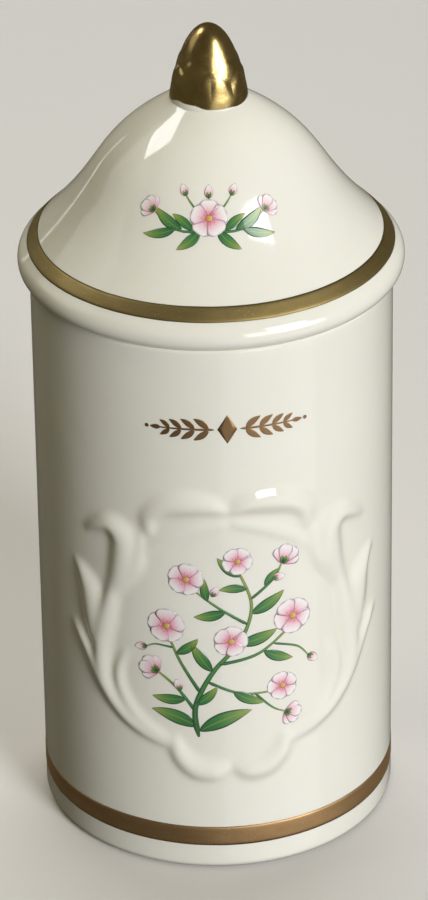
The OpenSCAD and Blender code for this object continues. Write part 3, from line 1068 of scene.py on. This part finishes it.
# Pairs of leaves along an arm: place, length, width; and each leaf's start off the stem, turn and bend
ARM_LEAVES = ((2.7, 2.7, 0.95), (4.7, 2.5, 0.9), (6.6, 2.2, 0.8), (8.3, 1.8, 0.7))
ARM_LEAF_OFF = 0.1
ARM_LEAF_TURN = 48
ARM_LEAF_BEND = -22
# The leaf at the arm's end, place, length, width, and the dot past it, place, radius
END_LEAF = (9.6, 1.6, 0.7)
END_DOT = (11.7, 0.3)
# The lozenge's half width, half height and points along it
LOZENGE = (1.4, 2.3, 13)


def make_ornament():
    gold = Painting(on_wall)
    for side in (1, -1):
        stem(gold, [(side * x, ORNAMENT_Z) for x in ARM_POINTS], *ARM_W)
        for x, length, width in ARM_LEAVES:
            for up in (1, -1):
                start, turn = flipped(side, (x, ORNAMENT_Z + ARM_LEAF_OFF * up), ARM_LEAF_TURN * up)
                leaf(gold, start, turn, length, width, ARM_LEAF_BEND * side * up, 1)
        x, length, width = END_LEAF
        leaf(gold, *flipped(side, (x, ORNAMENT_Z), 0), length, width, 0, 1)
        x, r = END_DOT
        disc(gold, (side * x, ORNAMENT_Z), r)
    half_w, half_h, count = LOZENGE
    share = np.linspace(-1, 1, count)
    middle = np.stack([np.zeros(count), ORNAMENT_Z + half_h * share], 1)
    gold.add(*ribbon(middle, half_w * (1 - np.abs(share)) + END_W, 5))
    return gold


def dress(painting, name, material, body):
    piece = painting.finish(name, material)
    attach(piece, body)


petal_paint = painted("petal_enamel", [(0.06, (0.55, 0.06, 0.17)), (0.26, (0.76, 0.28, 0.40)),
                                       (0.5, (0.84, 0.62, 0.65)), (0.82, (0.87, 0.83, 0.79))],
                      edge=(0.74, (0.36, 0.25, 0.32)), tip=0.9)
leaf_paint = painted("leaf_enamel", [(0.0, (0.03, 0.115, 0.045)), (0.35, (0.05, 0.195, 0.06)),
                                     (0.7, (0.14, 0.275, 0.065)), (1.0, (0.33, 0.37, 0.10))],
                     edge=(0.68, (0.02, 0.065, 0.03)), vein=0.4)
heart_paint = painted("heart_enamel", [(0.2, (0.45, 0.30, 0.05)), (0.8, (0.66, 0.52, 0.13))],
                      edge=(0.7, (0.28, 0.12, 0.05)), gloss=0.18)
PAINTS = (("leaves", leaf_paint), ("petals", petal_paint), ("hearts", heart_paint))

for maker, prefix, body in ((make_spray, "spray", "jar"), (make_sprig, "sprig", "lid")):
    for painting, (part, paint) in zip(maker(), PAINTS):
        dress(painting, prefix + "_" + part, paint, body)
dress(make_ornament(), "gold_ornament", foot_gilding, "jar")


# Stage, in metres

# The floor's radius and that of a small hole in it, under the jar
FLOOR_R = 2.8
FLOOR_HOLE_R = 0.01
# The height that the backdrop reaches, and the radius of the bend between it and the floor
BACKDROP_H = 5.0
BACKDROP_BEND = 1.6
STAGE_COLUMNS = 96


def stage_material():
    material, tree, shader = new_material("stage")
    cloud = noise(tree, coords(tree, "Object"), scale=3)
    pale = ramp(tree, cloud, (0.3, (0.75, 0.735, 0.70)), (0.7, (0.78, 0.765, 0.73)))
    fill(tree, shader, {"Base Color": pale, "Roughness": 0.9, "Specular IOR Level": 0})
    return material


def make_stage():
    """A round floor, and a backdrop that bends up from its edge."""
    material = stage_material()
    angles = even_angles(STAGE_COLUMNS)
    floor = straight((FLOOR_HOLE_R, 0), (FLOOR_R, 0), 8)
    bend = arc((FLOOR_R, BACKDROP_BEND), BACKDROP_BEND, 180, 90, 24)
    wall = straight(bend[-1], (bend[-1][0], BACKDROP_H), 4)[1:]
    for name, profile in (("floor", floor), ("backdrop", np.vstack([bend, wall]))):
        points = turned(profile, angles) / MM
        piece = ring_object(name, points, turned_uv(profile, angles), material)
        # The stage neither lights the jar from below nor shows in its gloss
        piece.visible_diffuse = False
        piece.visible_glossy = False
        piece.visible_shadow = name == "floor"


make_stage()


# Lights, in metres

MIDDLE = np.array([0, 0, 0.065])
WHITE = (1.0, 0.993, 0.98)
COOL = (1.0, 1.003, 1.05)
WARM = (1.0, 0.94, 0.70)
WORLD_COLOUR = (0.093, 0.084, 0.060)
# Broad soft lights, which nothing mirrors: degrees round and up, strength, spread in degrees, colour
BROAD_LIGHTS = {
    "main": (28, 17, 3.02, 20, COOL),
    "right": (80, 8, 0.4, 40, COOL),
    "behind": (172, 33, 2.1, 70, WHITE),
}
# A near light over the lid's left, which nothing mirrors, and panels that are only mirrored:
# degrees round and up, metres away, width, height, watts
TOP = (-95, 61, 0.3, 0.15, 0.15, 0.17)
PANELS = {
    "key": (41, 20.5, 2.4, 0.87, 1.65, 42),
    "jar_key": (24, 6, 2.4, 1.0, 0.3, 10),
    "left_glow": (-108, 28, 2.4, 1.6, 1.3, 4),
    "key_low": (38, 10, 2.4, 2.1, 0.95, 25),
    "low_glow": (32, -22, 0.95, 1.0, 0.7, 1.1),
    "back": (-117, 49, 2.4, 0.68, 0.78, 11),
    "strip": (-146, 4, 2.4, 0.08, 0.8, 0.27),
}
# The jar's china mirrors a small key of its own, so that the frame's highlights stay small
JAR_LINKS = {"key": "EXCLUDE", "key_low": "EXCLUDE", "jar_key": "INCLUDE"}


def placed(right, up, back, place):
    axes = np.stack([right, up, back], 1)
    return Matrix([(*row, at) for row, at in zip(axes, place)] + [(0, 0, 0, 1)])


def add_light(name, kind, turn, rise, away, strength, colour):
    """A light that looks at the jar's middle, from degrees round, degrees up and metres away."""
    light = bpy.data.lights.new(name, kind)
    light.energy = strength
    light.color = colour
    a, b = math.radians(turn), math.radians(rise)
    back = np.array([math.sin(a) * math.cos(b), -math.cos(a) * math.cos(b), math.sin(b)])
    right = np.cross((0, 0, 1), back) / math.cos(b)
    obj = bpy.data.objects.new(name, light)
    obj.matrix_world = placed(right, np.cross(back, right), back, MIDDLE + away * back)
    bpy.context.collection.objects.link(obj)
    return obj


def broad_light(name, turn, rise, strength, spread, colour):
    """A light as broad as a soft sky."""
    obj = add_light(name, "SUN", turn, rise, 1, strength, colour)
    obj.data.angle = math.radians(spread)
    obj.visible_glossy = False


def area_light(name, turn, rise, away, width, height, power, colour):
    """A soft panel that the camera doesn't see."""
    obj = add_light(name, "AREA", turn, rise, away, power, colour)
    obj.data.shape = "RECTANGLE"
    obj.data.size = width
    obj.data.size_y = height
    obj.visible_camera = False
    return obj


def link_light(light, piece, state):
    """Lets a light reach only one piece, with state INCLUDE, or all but it, with EXCLUDE."""
    group = bpy.data.collections.new(light.name + "_link")
    group.objects.link(piece)
    group.collection_objects[0].light_linking.link_state = state
    light.light_linking.receiver_collection = group


for name, row in BROAD_LIGHTS.items():
    broad_light(name, *row)
top = area_light("top", *TOP, WARM)
top.visible_glossy = False
for name, row in PANELS.items():
    panel = area_light(name, *row, WHITE)
    panel.visible_diffuse = False
    if name in JAR_LINKS:
        link_light(panel, jar, JAR_LINKS[name])

world = bpy.data.worlds.new("studio")
world.use_nodes = True
sky = world.node_tree.nodes["Background"]
fill(world.node_tree, sky, {"Color": (*WORLD_COLOUR, 1), "Strength": 1})
bpy.context.scene.world = world
bpy.context.scene.view_settings.view_transform = "Standard"


# Camera, as fitted to the photograph's rims and wall

CAMERA_AWAY = 650.8
CAMERA_UP = 425.3
CAMERA_TURN = math.radians(-4.2)
CAMERA_PITCH = math.radians(29.5)
CAMERA_ROLL = math.radians(0.85)
FOCAL_PX = 5024
IMAGE_H = 900
SENSOR = 36


def make_camera():
    turn, pitch, roll = CAMERA_TURN, CAMERA_PITCH, CAMERA_ROLL
    toward = np.array([-math.sin(turn), math.cos(turn), 0])
    right = np.array([math.cos(turn), math.sin(turn), 0])
    ahead = toward * math.cos(pitch) - np.array([0, 0, math.sin(pitch)])
    up = np.cross(right, ahead)
    rolled_right = right * math.cos(roll) - up * math.sin(roll)
    rolled_up = right * math.sin(roll) + up * math.cos(roll)
    place = (-toward * CAMERA_AWAY + np.array([0, 0, CAMERA_UP])) * MM
    data = bpy.data.cameras.new("camera")
    data.sensor_fit = "VERTICAL"
    data.sensor_height = SENSOR
    data.lens = FOCAL_PX / IMAGE_H * SENSOR
    data.clip_start = 0.01
    camera = bpy.data.objects.new("camera", data)
    camera.matrix_world = placed(rolled_right, rolled_up, -ahead, place)
    bpy.context.collection.objects.link(camera)
    bpy.context.scene.camera = camera


make_camera()
